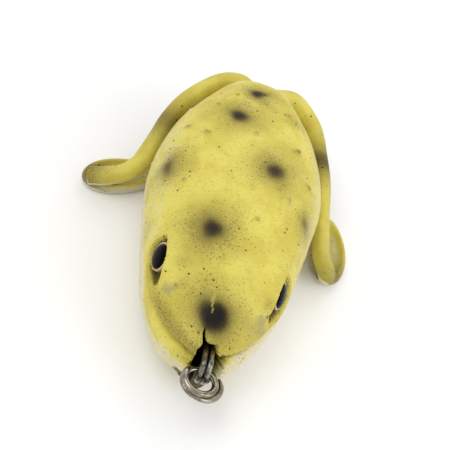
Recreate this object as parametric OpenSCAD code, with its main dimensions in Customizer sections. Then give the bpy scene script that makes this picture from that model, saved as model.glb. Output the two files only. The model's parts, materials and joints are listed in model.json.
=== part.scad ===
// Hollow-bodied topwater frog lure: a soft moulded body over a double hook, with moulded rubber legs.
// The frog lies on its belly, nose towards -Y and its left side towards +X. The belly rests at z = 0.

/* [Body] */
// Length of the hollow body from snout to rump
body_length = 63; // [56:1:76]
// Width of the body at its widest
body_width = 32; // [28:1:39]
// Height of the back above the belly
body_height = 23; // [20:1:28]
// Thickness of the moulded skin
skin = 1.8; // [1.3:0.1:2.2]
// Squareness of the cross section, where 2 is an ellipse
squareness = 2.4; // [2.1:0.1:2.8]

/* [Mouth] */
// Width of the torn mouth
mouth_width = 7; // [6:0.5:8]
// Height of the tear
mouth_height = 9; // [7:0.5:10]

/* [Eyes] */
// Diameter of the eye bead
eye_d = 5.4; // [4.4:0.1:6]
// Diameter of the black pupil
pupil_d = 4.2; // [3:0.1:4.8]
// Depth of the socket that the bead is glued into
socket_depth = 1.2; // [1:0.1:1.6]

/* [Hook] */
// Diameter of the hook wire
wire_d = 1; // [0.8:0.05:1.2]
// Inside diameter of the eye at the front of the hook
hook_eye_id = 3.5; // [3.2:0.1:4]
// Distance from each point back to its shank
hook_gap = 11; // [10:0.5:12]
// Length of wire between each bend and its point
point_length = 5.5; // [4:0.5:7]
// Lean of each bend outwards from upright, in degrees
bend_lean = 66; // [62:1:68]

/* [Weight] */
// Diameter of the lead weight on the shanks
weight_d = 6; // [5:0.5:7]
// Length of the lead weight
weight_length = 13; // [8:1:16]

/* [Split ring] */
// Outside diameter of the split ring
ring_d = 6.8; // [6.6:0.1:7.2]
// Width of the flattened ring wire, across the ring
ring_wire_width = 1.2; // [0.9:0.05:1.25]
// Height of the flattened ring wire, along the ring's axis
ring_wire_height = 0.95; // [0.7:0.05:1]

/* [Legs] */
// Width of the leg strip
leg_width = 3.8; // [3:0.1:4.2]
// Thickness of the leg strip
leg_thickness = 3; // [2.4:0.1:3.4]
// Length of the foot paddle
foot_length = 16; // [13:1:18]
// Width of the foot paddle
foot_width = 7.6; // [6:0.2:8.4]
// Thickness of the foot paddle
foot_thickness = 2.8; // [2:0.1:3]

/* [Hidden] */

nose_y = -31 * body_length / 63;
rump_y = nose_y + body_length;
half_width = body_width / 2;
running_gap = 0.3;
glue_gap = 0.05;
wire_r = wire_d / 2;

// Body outline at each station: its place along the body, its half width, its back line and its belly line,
// as shares of the length, the half width, the height and the height.
stations = [
    [0, 0.225, 0.54, 0.26], [0.012, 0.31, 0.60, 0.21], [0.06, 0.49, 0.71, 0.125],
    [0.18, 0.725, 0.88, 0.025], [0.32, 0.862, 0.96, -0.012], [0.48, 0.955, 1, -0.018],
    [0.64, 1, 0.99, -0.015], [0.80, 0.845, 0.955, 0.05], [0.93, 0.53, 0.89, 0.19],
    [0.98, 0.34, 0.81, 0.28], [1, 0.21, 0.72, 0.35]
];
// Height of the widest line of each section, as a share of the section's height.
belt = 0.45;
rump_wall = 4.5;
lip_z = 0.3 * body_height;
mouth_x = 1.35;

// The eye sits on the side of the head.
eye_along = 0.233;
eye_yaw = 14;
eye_pitch = 20;
eye_at = [0.68 * half_width, nose_y + eye_along * body_length, 0.69 * body_height];
bead_r = eye_d / 2 - glue_gap;
bead_dome = 0.8;
pupil_dome = 0.5;

// The hook's eye stands just in front of the nose, and the shanks run back and down to the bends.
eye_r = (hook_eye_id + wire_d) / 2;
shank_x = wire_r + 0.05;
hook_eye_at = [mouth_x, nose_y - 1.6, lip_z + 1.35 + wire_r + eye_r];
shank_front = hook_eye_at + [0, 0, eye_r];
shank_rear = [0, rump_y - 1, wire_d + 0.5];
slot_width = 2 * (shank_x + wire_r) + 2.2;
slot_from = rump_y - body_length / 4;
slot_to = rump_y - 3.5;
// Angle round the hook's eye at which the two wires join.
eye_end = -135;

// The weight is threaded on the shanks behind the middle of the belly.
shank_drop = atan2(shank_front[2] - shank_rear[2], shank_rear[1] - shank_front[1]);
shank_turn = atan2(mouth_x, shank_rear[1] - shank_front[1]);
weight_along = 0.5;

// The ring passes through the hook's eye and sticks out in front of the nose.
ring_r = (ring_d - ring_wire_width) / 2;
ring_seat = 0.45;
ring_tilt = 4;
ring_yaw = -2;
ring_roll = 6;
ring_drop = 1.15;
ring_turns = 1.71;
ring_loose = 0.375;
ring_spread = 2.4;

// Each leg's route, as shares of the half width, the length and the height, then its joints.
hip = [0.275, 0.995, 0.60];
left_route = [[0.30, 1.01, 0.60], [0.52, 1.035, 0.58], [0.80, 0.985, 0.515], [0.95, 0.89, 0.455]];
left_knee = [0.95, 0.89, 0.455];
left_shin_route = [[1.05, 0.80, 0.40], [1.11, 0.70, 0.335]];
left_ankle = [1.15, 0.63, 0.285];
left_foot_route = [[1.20, 0.575, 0.25], [1.30, 0.54, 0.20]];
right_route = [[-0.30, 1.01, 0.60], [-0.52, 1.0, 0.57], [-0.79, 0.93, 0.50], [-0.93, 0.855, 0.435]];
right_knee = [-0.93, 0.855, 0.435];
right_shin_route = [[-1.01, 0.78, 0.36], [-1.08, 0.72, 0.30]];
right_ankle = [-1.13, 0.69, 0.26];
right_foot_route = [[-1.25, 0.655, 0.215], [-1.42, 0.635, 0.18]];
left_toe = [1.38, 0.55];
right_toe = [-1.64, 0.64];
left_foot_turn = 98;
right_foot_turn = 27;
toe_reach = 1.2;
knuckle_r = leg_width / 2 + 0.1;

function unit(v) = v / norm(v);

// Smooth curve through a list of points, where u counts the points passed.
function curve_at(p, u) =
    let (n = len(p) - 1, i = min(floor(u), n - 1), f = u - i)
    let (a = p[max(i - 1, 0)], b = p[i], c = p[i + 1], d = p[min(i + 2, n)])
    b + 0.5 * f * ((c - a) + f * (2 * a - 5 * b + 4 * c - d + f * (3 * (b - c) + d - a)));

function smooth(p, steps) = [for (k = [0:steps]) curve_at(p, k * (len(p) - 1) / steps)];

// A point given as shares of the half width, the length and the height.
function on_body(s) = [s[0] * half_width, nose_y + s[1] * body_length, s[2] * body_height];
function route(list) = [for (s = list) on_body(s)];

function power(v, e) = sign(v) * pow(abs(v), e);

// One ring of the body at station u, set in by the skin for the inner wall.
function body_ring(u, inset, rear_inset, sides) =
    let (s = curve_at(stations, u))
    let (y = nose_y + inset + s[0] * (body_length - inset - rear_inset))
    let (w = s[1] * half_width - inset, top = s[2] * body_height - inset, low = s[3] * body_height + inset)
    let (mid = low + belt * (top - low))
    [for (j = [0:sides - 1])
        let (a = 360 * j / sides, c = power(cos(a), 2 / squareness), v = power(sin(a), 2 / squareness))
        [w * c, y, mid + v * (v > 0 ? top - mid : mid - low)]];

// Closed skin over a list of rings.
module loft(rings) {
    n = len(rings[0]);
    m = len(rings);
    polyhedron(
        points = [for (r = rings) each r],
        faces = [
            [for (j = [n - 1:-1:0]) j],
            for (i = [0:m - 2]) for (j = [0:n - 1])
                [i * n + j, i * n + (j + 1) % n, (i + 1) * n + (j + 1) % n, (i + 1) * n + j],
            [for (j = [0:n - 1]) (m - 1) * n + j]
        ]
    );
}

function tangents(p) =
    [for (i = [0:len(p) - 1]) unit(p[min(i + 1, len(p) - 1)] - p[max(i - 1, 0)])];

// Side direction at each point, carried along the route so that the section never twists.
function side_dirs(t, first) =
    [for (i = 0, v = unit(first - (first * t[0]) * t[0]); i < len(t);
        i = i + 1, v = i < len(t) ? unit(v - (v * t[i]) * t[i]) : v) v];

// Oval rod along a route: half widths a along the side direction, half heights b across it.
module rod(p, first, a, b, sides) {
    t = tangents(p);
    s = side_dirs(t, first);
    loft([for (i = [0:len(p) - 1])
        let (up = cross(s[i], t[i]))
        [for (j = [0:sides - 1])
            let (angle = 360 * j / sides)
            p[i] + a[i] * cos(angle) * s[i] + b[i] * sin(angle) * up]]);
}

function constant(p, value) = [for (q = p) value];

module outer_body() {
    loft([for (k = [0:44]) body_ring(k * 10 / 44, 0, 0, 44)]);
}

module inner_body() {
    loft([for (k = [0:30]) body_ring(k * 10 / 30, skin, rump_wall, 32)]);
}

// Puts a child that points along +Z on the left eye's axis.
module at_left_eye() {
    translate(eye_at)
        rotate([0, 90 - eye_pitch, -eye_yaw])
            children();
}

module both_sides() {
    children();
    mirror([1, 0, 0])
        children();
}

// Ragged opening torn back from the lips.
module mouth_cut() {
    w = mouth_width / 2;
    outline = [
        [-0.9, -0.17], [0.9, -0.17], [1.05, 0.1], [1.05, 0.3], [0.75, 0.5], [0.4, 0.7],
        [-0.15, 0.85], [-0.45, 1], [-0.78, 0.8], [-0.86, 0.62], [-1.02, 0.2]
    ];
    translate([mouth_x, nose_y + 6.5, lip_z])
        rotate([90, 0, 0])
            linear_extrude(10)
                polygon([for (p = outline) [p[0] * w, p[1] * mouth_height]]);
}

// Slit under the rump that the shanks come out of and move up into.
module shank_slot() {
    r = slot_width / 2;
    translate([0, 0, -1])
        linear_extrude(0.3 * body_height + 1) {
            translate([0, slot_from + r])
                circle(r, $fn = 32);
            translate([0, slot_to - r])
                circle(r, $fn = 32);
            translate([-r, slot_from + r])
                square([2 * r, slot_to - slot_from - 2 * r]);
        }
}

module hip_pocket() {
    p = on_body(hip);
    translate([p[0], p[1], p[2] - leg_thickness / 2 - 2 * running_gap])
        cylinder(r = knuckle_r + running_gap, h = leg_thickness + 4 * running_gap, $fn = 40);
}

module body_shell() color("#d8cf5e")
    difference() {
        union() {
            difference() {
                outer_body();
                inner_body();
            }
            // Pads that back the eye sockets.
            intersection() {
                outer_body();
                both_sides()
                    at_left_eye()
                        translate([0, 0, -2 * skin])
                            cylinder(d = eye_d + 2, h = 4 * skin, $fn = 24);
            }
        }
        mouth_cut();
        shank_slot();
        both_sides()
            hip_pocket();
        both_sides()
            at_left_eye()
                translate([0, 0, -socket_depth])
                    cylinder(d = eye_d, h = 4 * socket_depth, $fn = 40);
        translate([-body_width, nose_y - 1, -body_height])
            cube([2 * body_width, body_length + 2, body_height]);
    }

// Flat-backed bead with a domed front that holds the pupil.
module eye_bead() {
    flat = socket_depth - glue_gap - 0.2;
    difference() {
        translate([0, 0, -flat])
            union() {
                cylinder(r = bead_r, h = flat, $fn = 48);
                translate([0, 0, flat])
                    cap(bead_r, bead_dome);
            }
        translate([0, 0, -0.1])
            cylinder(d = pupil_d, h = 3, $fn = 48);
    }
}

// Dome of radius r at its foot and height h.
module cap(r, h) {
    sphere_r = (r * r + h * h) / (2 * h);
    foot = asin(r / sphere_r);
    rotate_extrude($fn = 48)
        polygon([
            [0, 0],
            for (a = [foot:-foot / 8:foot / 16]) [sphere_r * sin(a), sphere_r * cos(a) - sphere_r + h],
            [0, h]
        ]);
}

module eye_pupil() {
    rest = bead_dome - 0.1;
    translate([0, 0, -0.1 + glue_gap]) {
        cylinder(r = pupil_d / 2 - glue_gap, h = rest, $fn = 48);
        translate([0, 0, rest])
            cap(pupil_d / 2 - glue_gap, pupil_dome);
    }
}

module left_eye_bead() color("#c9b98a") at_left_eye() eye_bead();
module right_eye_bead() color("#c9b98a") mirror([1, 0, 0]) at_left_eye() eye_bead();
module left_eye_pupil() color("#101012") at_left_eye() eye_pupil();
module right_eye_pupil() color("#101012") mirror([1, 0, 0]) at_left_eye() eye_pupil();

// Leg piece along a route, with an upright knuckle at its root and room for the next knuckle at its end.
module leg_piece(p, root, next) {
    difference() {
        union() {
            rod(p, [1, 0, 0], constant(p, leg_width / 2), constant(p, leg_thickness / 2), 14);
            translate([root[0], root[1], root[2] - leg_thickness / 2])
                cylinder(r = knuckle_r, h = leg_thickness, $fn = 40);
        }
        translate([next[0], next[1], next[2] - 3 * leg_thickness])
            cylinder(r = knuckle_r + running_gap, h = 6 * leg_thickness, $fn = 40);
    }
}

module thigh(list, side, knee) {
    p = route(list);
    leg_piece(smooth(p, 12), on_body([side * hip[0], hip[1], hip[2]]), on_body(knee));
}

module shin(knee, list, ankle) {
    p = concat([on_body(knee)], route(list), [on_body(ankle)]);
    leg_piece(smooth(p, 8), on_body(knee), on_body(ankle));
}

// Foot: the end of the strip lying on an oval paddle that runs back from the toe.
module foot(ankle, list, toe, turn) {
    tip = on_body([toe[0], toe[1], 0]);
    p = concat([on_body(ankle)], route(list), [[tip[0], tip[1], foot_thickness * 0.75]]);
    q = smooth(p, 8);
    root = on_body(ankle);
    taper = [for (k = [0:8]) 1 - 0.35 * pow(k / 8, 3)];
    rod(q, [1, 0, 0], taper * leg_width / 2, taper * leg_thickness / 2, 14);
    translate([root[0], root[1], root[2] - leg_thickness / 2])
        cylinder(r = knuckle_r, h = leg_thickness, $fn = 40);
    dir = [cos(turn), sin(turn), 0];
    rim = foot_thickness / 2;
    paddle = [for (k = [0:14]) let (a = 180 * k / 14) tip + (foot_length / 2) * (1 - cos(a)) * dir
        - toe_reach * dir + [0, 0, rim + glue_gap]];
    swell = [for (k = [0:14]) max(0.16, pow(sin(180 * k / 14), 0.8))];
    thin = [for (k = [0:14]) max(0.3, pow(sin(180 * k / 14), 0.4))];
    rod(paddle, [sin(turn), -cos(turn), 0], swell * foot_width / 2, thin * rim, 16);
}

module left_thigh() color("#cfc657") thigh(left_route, 1, left_knee);
module left_shin() color("#cfc657") shin(left_knee, left_shin_route, left_ankle);
module left_foot() color("#cfc657") foot(left_ankle, left_foot_route, left_toe, left_foot_turn);
module right_thigh() color("#cfc657") thigh(right_route, -1, right_knee);
module right_shin() color("#cfc657") shin(right_knee, right_shin_route, right_ankle);
module right_foot() color("#cfc657") foot(right_ankle, right_foot_route, right_toe, right_foot_turn);

// Half of the hook on side s, from the point to the middle of the bend that closes the eye.
function hook_half(s) =
    let (out = [s * sin(bend_lean), 0, cos(bend_lean)], rear = shank_rear + [s * shank_x, 0, 0])
    let (r = hook_gap / 2, centre = rear + r * out)
    let (onward = [0, sin(eye_end), cos(eye_end)])
    let (join = hook_eye_at + eye_r * [0, -cos(eye_end), sin(eye_end)])
    concat(
        [for (k = [0:3]) centre + r * out - [0, point_length * (3 - k) / 3, 0]],
        [for (a = [15:15:165]) centre + r * cos(a) * out + [0, r * sin(a), 0]],
        [for (k = [0:5]) (rear * (5 - k) + (shank_front + [s * shank_x, 0, 0]) * k) / 5],
        [for (a = [75:-15:eye_end]) hook_eye_at + [s * shank_x, -eye_r * cos(a), eye_r * sin(a)]],
        [for (a = [60, 25]) join + [s * shank_x * sin(a), 0, 0] + shank_x * cos(a) * onward]
    );

function reversed(p) = [for (i = [len(p) - 1:-1:0]) p[i]];

module double_hook() color("#9a9a98") {
    p = concat(hook_half(1), reversed(hook_half(-1)));
    last = len(p) - 1;
    radii = [for (i = [0:last]) wire_r * min(1, 0.12 + 0.4 * min(i, last - i))];
    rod(p, [0, 0, 1], radii, radii, 10);
}

// Barrel of lead, slotted for the two shanks.
module belly_weight() color("#6f7072") {
    at = shank_front + weight_along * (shank_rear - shank_front);
    slot_r = wire_r + glue_gap;
    translate(at)
        rotate([-90 - shank_drop, 0, shank_turn])
            difference() {
                translate([0, 0, -weight_length / 2])
                    cylinder(d = weight_d, h = weight_length, $fn = 40);
                translate([0, 0, -weight_length])
                    linear_extrude(2 * weight_length) {
                        translate([shank_x, 0])
                            circle(slot_r, $fn = 24);
                        translate([-shank_x, 0])
                            circle(slot_r, $fn = 24);
                        translate([-shank_x, -slot_r])
                            square([2 * shank_x, 2 * slot_r]);
                    }
            }
}

// Wound ring whose last part turn is sprung out to one side.
module split_ring() color("#c6c6c2") {
    steps = 26;
    translate(hook_eye_at)
        rotate([-ring_tilt, 0, ring_yaw])
            rotate([0, ring_roll, 0])
                translate([0, ring_seat - ring_r, -ring_drop]) {
                    p = [for (k = [0:ring_turns * steps])
                        let (turn = k / steps, a = 360 * turn - 210)
                        let (spring = max(0, turn - ring_turns + ring_loose) / ring_loose)
                        let (r = ring_r + ring_spread * pow(spring, 1.6))
                        [r * cos(a), r * sin(a), (ring_wire_height + 0.04) * (1 - turn) - 0.8 * spring]];
                    swell = [for (k = [0:len(p) - 1]) min(1, 0.6 + 0.2 * min(k, len(p) - 1 - k)) / 2];
                    rod(p, [0, 0, 1], swell * ring_wire_height, swell * ring_wire_width, 8);
                }
}

body_shell();
left_eye_bead();
right_eye_bead();
left_eye_pupil();
right_eye_pupil();
left_thigh();
left_shin();
left_foot();
right_thigh();
right_shin();
right_foot();
double_hook();
belly_weight();
split_ring();
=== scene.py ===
"""Hollow-bodied topwater frog lure.

Soft airbrushed body, domed eyes, rubber legs, a double hook with its lead weight, and a split ring.
"""

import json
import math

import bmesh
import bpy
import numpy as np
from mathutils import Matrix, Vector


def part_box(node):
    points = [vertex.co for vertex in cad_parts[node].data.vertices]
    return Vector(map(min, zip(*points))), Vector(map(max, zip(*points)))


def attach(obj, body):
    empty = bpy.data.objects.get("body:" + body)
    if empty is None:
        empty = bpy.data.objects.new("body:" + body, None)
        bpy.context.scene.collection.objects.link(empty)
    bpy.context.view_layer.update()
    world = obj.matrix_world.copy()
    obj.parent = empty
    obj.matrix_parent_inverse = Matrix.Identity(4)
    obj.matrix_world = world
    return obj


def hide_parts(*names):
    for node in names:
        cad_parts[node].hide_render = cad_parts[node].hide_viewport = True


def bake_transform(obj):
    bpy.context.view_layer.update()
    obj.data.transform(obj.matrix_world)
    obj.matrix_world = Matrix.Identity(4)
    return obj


bl_info = {
    "name": "Hollow Frog Lure",
    "version": (1, 0, 0),
    "blender": (4, 5, 0),
    "location": "View3D > Sidebar > Frog Lure",
    "description": "Builds the visible skin, legs, eyes and wire parts of a hollow frog lure",
    "category": "Object",
}

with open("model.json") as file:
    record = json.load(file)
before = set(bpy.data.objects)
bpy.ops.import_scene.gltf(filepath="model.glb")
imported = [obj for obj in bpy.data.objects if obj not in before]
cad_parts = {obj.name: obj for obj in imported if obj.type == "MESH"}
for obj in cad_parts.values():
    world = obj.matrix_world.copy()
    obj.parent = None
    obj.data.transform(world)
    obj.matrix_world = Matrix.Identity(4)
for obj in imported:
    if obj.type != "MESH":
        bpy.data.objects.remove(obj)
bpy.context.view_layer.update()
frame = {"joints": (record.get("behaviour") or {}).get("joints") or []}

MM = 0.001

# Overall sizes in millimetres, read from the body's CAD solid.
BODY_LOW, BODY_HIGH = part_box("body_shell")
NOSE_Y = BODY_LOW.y / MM
BODY_LENGTH = (BODY_HIGH.y - BODY_LOW.y) / MM
HALF_WIDTH = round(BODY_HIGH.x / MM)
BODY_HEIGHT = round(BODY_HIGH.z / MM)
RUMP_Y = NOSE_Y + BODY_LENGTH

# Body outline: share of the length, then of the half width, and of the heights of the back and the belly.
STATIONS = np.array([
    [0, 0.225, 0.54, 0.26], [0.012, 0.31, 0.60, 0.21], [0.06, 0.49, 0.71, 0.125],
    [0.18, 0.725, 0.88, 0.025], [0.32, 0.862, 0.96, -0.012], [0.48, 0.955, 1, -0.018],
    [0.64, 1, 0.99, -0.015], [0.80, 0.845, 0.955, 0.05], [0.93, 0.53, 0.89, 0.19],
    [0.98, 0.34, 0.81, 0.28], [1, 0.21, 0.72, 0.35],
])
SQUARENESS = 2.4
BELT = 0.45

# The eye's place and the way it faces, on the frog's left side.
EYE_AT = np.array([0.68 * HALF_WIDTH, NOSE_Y + 0.233 * BODY_LENGTH, 0.69 * BODY_HEIGHT])
EYE_YAW = math.radians(14)
EYE_PITCH = math.radians(20)

# Middle of the tear, where the hook's eye stands.
TEAR_X = 1.35

# Each leg's route, as shares of the half width, the length and the height, from hip to toe.
LEFT_LEG = [
    [0.14, 0.965, 0.65], [0.28, 1.01, 0.62], [0.49, 1.03, 0.59], [0.76, 0.975, 0.52], [0.91, 0.885, 0.46],
    [1.02, 0.80, 0.405], [1.09, 0.70, 0.34], [1.15, 0.63, 0.285], [1.20, 0.575, 0.25], [1.30, 0.54, 0.20],
]
RIGHT_LEG = [
    [-0.12, 0.965, 0.66], [-0.27, 1.015, 0.63], [-0.50, 1.005, 0.59], [-0.78, 0.93, 0.51],
    [-0.93, 0.855, 0.435], [-1.01, 0.78, 0.36], [-1.08, 0.72, 0.30], [-1.13, 0.69, 0.26],
    [-1.25, 0.655, 0.215], [-1.42, 0.635, 0.18],
]
LEFT_TOE = [1.38, 0.55]
RIGHT_TOE = [-1.64, 0.64]
LEFT_FOOT_TURN = math.radians(98)
RIGHT_FOOT_TURN = math.radians(27)
LEGS = {1: (LEFT_LEG, LEFT_TOE, LEFT_FOOT_TURN), -1: (RIGHT_LEG, RIGHT_TOE, RIGHT_FOOT_TURN)}
# Shares of a leg's length at which its upper part and its lower part end.
UPPER_CUT = 0.30
LOWER_CUT = 0.56

# Split ring: turns wound, part turn that stands off, how far it stands off and drops, how far the ring's
# far side passes the hook's eye, and how far the ring hangs below it, in mm.
RING_TURNS = 1.71
RING_LOOSE = 0.375
RING_SPREAD = 2.4
RING_SEAT = 0.48
RING_DROP = 1.15

# Lead weight, in mm.
WEIGHT_LENGTH = 13.0
WEIGHT_RADIUS = 2.98

JOINTS = {j["name"]: np.array(j.get("pos_m", [0, 0, 0])) / MM for j in frame["joints"]}


# ---------------------------------------------------------------- shared helpers


def linear(code):
    """An sRGB hex code as an opaque linear colour."""
    parts = [int(code[i:i + 2], 16) / 255 for i in (1, 3, 5)]
    return tuple(c / 12.92 if c <= 0.04045 else ((c + 0.055) / 1.055) ** 2.4 for c in parts) + (1.0,)


def unit(v):
    """A vector at length one."""
    v = np.asarray(v, float)
    return v / np.linalg.norm(v)


def smoothstep(low, high, value):
    """Smooth rise from 0 at low to 1 at high."""
    t = np.clip((value - low) / (high - low), 0, 1)
    return t * t * (3 - 2 * t)


def spline(points, u):
    """Smooth curve through a list of points, where u counts the points passed."""
    p = np.asarray(points, float)
    u = np.asarray(u, float)
    last = len(p) - 1
    i = np.clip(np.floor(u).astype(int), 0, last - 1)
    f = (u - i)[..., None]
    a, b, c, d = p[np.maximum(i - 1, 0)], p[i], p[i + 1], p[np.minimum(i + 2, last)]
    return b + 0.5 * f * ((c - a) + f * (2 * a - 5 * b + 4 * c - d + f * (3 * (b - c) + d - a)))


def on_body(shares):
    """Points in mm from shares of the body's half width, length and height."""
    s = np.asarray(shares, float)
    return np.stack([s[..., 0] * HALF_WIDTH, NOSE_Y + s[..., 1] * BODY_LENGTH, s[..., 2] * BODY_HEIGHT], -1)


def value_noise(points, size, seed):
    """Smooth random value from -1 to 1 at each point, where size is the width of a lump in mm."""
    grid = np.random.default_rng(seed).random((32, 32, 32))
    q = np.asarray(points) / size + 100
    i = np.floor(q).astype(int)
    f = q - i
    f = f * f * (3 - 2 * f)
    total = 0
    for corner in np.ndindex(2, 2, 2):
        weight = np.where(corner, f, 1 - f)
        at = (i + corner) % 32
        share = weight[..., 0] * weight[..., 1] * weight[..., 2]
        total = total + share * grid[at[..., 0], at[..., 1], at[..., 2]]
    return total * 2 - 1


def new_piece(name, points_mm, faces, material):
    """A mesh object at the origin from points in millimetres."""
    mesh = bpy.data.meshes.new(name)
    mesh.from_pydata((np.asarray(points_mm) * MM).tolist(), [], [list(map(int, f)) for f in faces])
    mesh.validate()
    mesh.polygons.foreach_set("use_smooth", [True] * len(mesh.polygons))
    mesh.materials.append(material)
    piece = bpy.data.objects.new(name, mesh)
    bpy.context.scene.collection.objects.link(piece)
    return piece


def set_mask(piece, name, values):
    """Stores one number per point, which a material reads by name."""
    layer = piece.data.attributes.new(name, "FLOAT", "POINT")
    layer.data.foreach_set("value", np.asarray(values, np.float32))


def face_outwards(piece):
    """Merges doubles and turns every face of a closed mesh outwards."""
    bm = bmesh.new()
    bm.from_mesh(piece.data)
    bmesh.ops.remove_doubles(bm, verts=bm.verts, dist=1e-7)
    bmesh.ops.recalc_face_normals(bm, faces=bm.faces)
    bm.to_mesh(piece.data)
    bm.free()


def grid_faces(rows, cols):
    """Quads of a grid closed around its columns, facing outwards for rings that turn from +X to +Z."""
    i, j = np.meshgrid(np.arange(rows - 1), np.arange(cols), indexing="ij")
    k = (j + 1) % cols
    corners = [i * cols + j, (i + 1) * cols + j, (i + 1) * cols + k, i * cols + k]
    return np.stack(corners, -1).reshape(-1, 4)


def carried_frame(path, side):
    """Side and up directions along a path that turn with it but never twist."""
    t = np.gradient(path, axis=0)
    t /= np.linalg.norm(t, axis=1)[:, None]
    s = np.zeros_like(path)
    v = np.asarray(side, float)
    for i in range(len(path)):
        v = unit(v - (v @ t[i]) * t[i])
        s[i] = v
    return s, np.cross(s, t)


def rod(path, side, up, half_width, half_height, sides=24, power=1.0):
    """Points and faces of a closed rod along a path, with an oval or squared section."""
    n = len(path)
    a = np.linspace(0, 2 * np.pi, sides, endpoint=False)
    ca = np.sign(np.cos(a)) * np.abs(np.cos(a)) ** power
    sa = np.sign(np.sin(a)) * np.abs(np.sin(a)) ** power
    w = np.broadcast_to(half_width, n)[:, None, None]
    h = np.broadcast_to(half_height, n)[:, None, None]
    rings = path[:, None] + w * ca[None, :, None] * side[:, None] + h * sa[None, :, None] * up[:, None]
    points = np.concatenate([rings.reshape(-1, 3), path[:1], path[-1:]])
    faces = [list(f) for f in grid_faces(n, sides)]
    faces += [[n * sides, j, (j + 1) % sides] for j in range(sides)]
    last = (n - 1) * sides
    faces += [[n * sides + 1, last + (j + 1) % sides, last + j] for j in range(sides)]
    return points, faces


# ---------------------------------------------------------------- materials


def add_node(tree, kind, links=None, **settings):
    """Adds a node, sets its properties and input defaults, and links its inputs."""
    node = tree.nodes.new(kind)
    for key, value in settings.items():
        if hasattr(node, key):
            setattr(node, key, value)
        else:
            node.inputs[key.replace("_", " ")].default_value = value
    for key, source in (links or {}).items():
        tree.links.new(source, node.inputs[key])
    return node


def new_material(name):
    """A material with a plain Principled shader, its node tree and that shader."""
    material = bpy.data.materials.new(name)
    material.use_nodes = True
    tree = material.node_tree
    tree.nodes.clear()
    shader = add_node(tree, "ShaderNodeBsdfPrincipled")
    add_node(tree, "ShaderNodeOutputMaterial", {"Surface": shader.outputs["BSDF"]})
    return material, tree, shader


def feed(tree, node, index, value):
    """Gives a node's input a number, a colour or a link."""
    if isinstance(value, bpy.types.NodeSocket):
        tree.links.new(value, node.inputs[index])
    else:
        node.inputs[index].default_value = value


def mixed(tree, fac, first, second):
    """Colour mix whose factor and colours may be numbers or sockets."""
    node = add_node(tree, "ShaderNodeMix", data_type="RGBA")
    for index, value in ((0, fac), (6, first), (7, second)):
        feed(tree, node, index, value)
    return node.outputs[2]


def calc(tree, operation, *values, clamp=False):
    """Maths on numbers or sockets."""
    node = add_node(tree, "ShaderNodeMath", operation=operation, use_clamp=clamp)
    for index, value in enumerate(values):
        feed(tree, node, index, value)
    return node.outputs[0]


def ramp(tree, value, low, high):
    """Smooth step of a socket from 0 at low to 1 at high."""
    return add_node(tree, "ShaderNodeMapRange", {"Value": value}, interpolation_type="SMOOTHSTEP",
                    From_Min=low, From_Max=high).outputs["Result"]


def noise(tree, coords, size_mm, detail=2.0, roughness=0.5):
    """Noise whose lumps are about size_mm wide."""
    return add_node(tree, "ShaderNodeTexNoise", {"Vector": coords}, Detail=detail, Roughness=roughness,
                    Scale=1 / (size_mm * MM)).outputs["Fac"]


def mask(tree, name):
    """A colour mask stored on the piece's own points."""
    return add_node(tree, "ShaderNodeAttribute", attribute_name=name).outputs["Fac"]


def ragged(tree, coords, value, size_mm, amount):
    """A mask with its edge broken up by noise."""
    wobble = calc(tree, "MULTIPLY", calc(tree, "SUBTRACT", noise(tree, coords, size_mm, 4, 0.6), 0.5), amount)
    return calc(tree, "ADD", value, wobble)


def roughen(tree, shader, height, strength, depth_mm):
    """Bumps a shader's surface by a height of 0 to 1 that stands for depth_mm."""
    bump = add_node(tree, "ShaderNodeBump", {"Height": height}, Strength=strength, Distance=depth_mm * MM)
    tree.links.new(bump.outputs["Normal"], shader.inputs["Normal"])


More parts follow.
